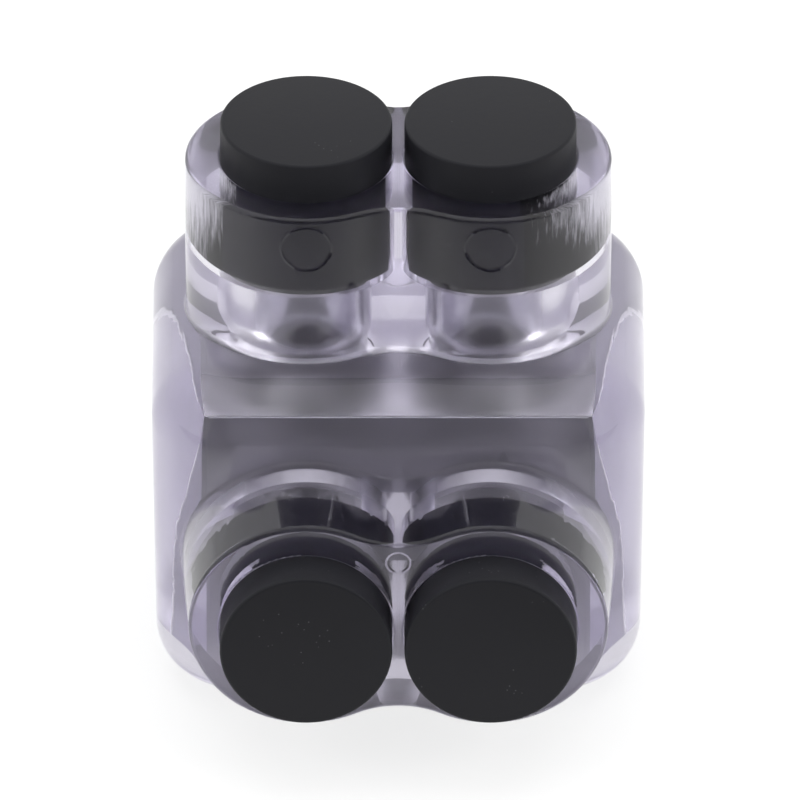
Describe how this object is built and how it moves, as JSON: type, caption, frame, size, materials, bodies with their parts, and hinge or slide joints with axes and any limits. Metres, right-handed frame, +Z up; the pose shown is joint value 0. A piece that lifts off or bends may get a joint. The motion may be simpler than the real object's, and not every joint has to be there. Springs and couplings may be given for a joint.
{
  "type": "insulated two-port tap connector",
  "caption": "Clear insulated tap connector: an aluminium block with set screws in a moulded cover with lobed collars, closed by black push-in plugs.",
  "frame": {"origin": "on the flat underside, straight below the middle of the two set screws' axes", "axes": "+Z up out of the screw ports, -Y out of the wire ports, X across the pair of ports"},
  "size_m": [0.0532, 0.0591, 0.0621],
  "materials": {
    "clear_cover": "clear soft vinyl with a faint lilac tint, glossy",
    "block_metal": "sawn and drilled bar, dull",
    "screw_metal": "plated, satin",
    "black_plug": "soft black vinyl, satin"
  },
  "bodies": {
    "connector": {"insulating_cover": "clear_cover", "terminal_block": "block_metal"},
    "set_screw_left": {"set_screw_left": "screw_metal"},
    "set_screw_right": {"set_screw_right": "screw_metal"},
    "screw_plug_left": {"screw_plug_left": "black_plug"},
    "screw_plug_right": {"screw_plug_right": "black_plug"},
    "wire_plug_left": {"wire_plug_left": "black_plug"},
    "wire_plug_right": {"wire_plug_right": "black_plug"}
  },
  "joints": [
    {"name": "screw_plug_left_pull", "type": "slide", "parent": "connector", "child": "screw_plug_left", "axis": [0, 0, 1], "range_m": [0, 0.04]},
    {"name": "screw_plug_right_pull", "type": "slide", "parent": "connector", "child": "screw_plug_right", "axis": [0, 0, 1], "range_m": [0, 0.04]},
    {"name": "wire_plug_left_pull", "type": "slide", "parent": "connector", "child": "wire_plug_left", "axis": [0, -1, 0], "range_m": [0, 0.06]},
    {"name": "wire_plug_right_pull", "type": "slide", "parent": "connector", "child": "wire_plug_right", "axis": [0, -1, 0], "range_m": [0, 0.06]},
    {"name": "set_screw_left_travel", "type": "slide", "parent": "connector", "child": "set_screw_left", "axis": [0, 0, -1], "range_m": [-0.003, 0.01]},
    {"name": "set_screw_right_travel", "type": "slide", "parent": "connector", "child": "set_screw_right", "axis": [0, 0, -1], "range_m": [-0.003, 0.01]}
  ]
}
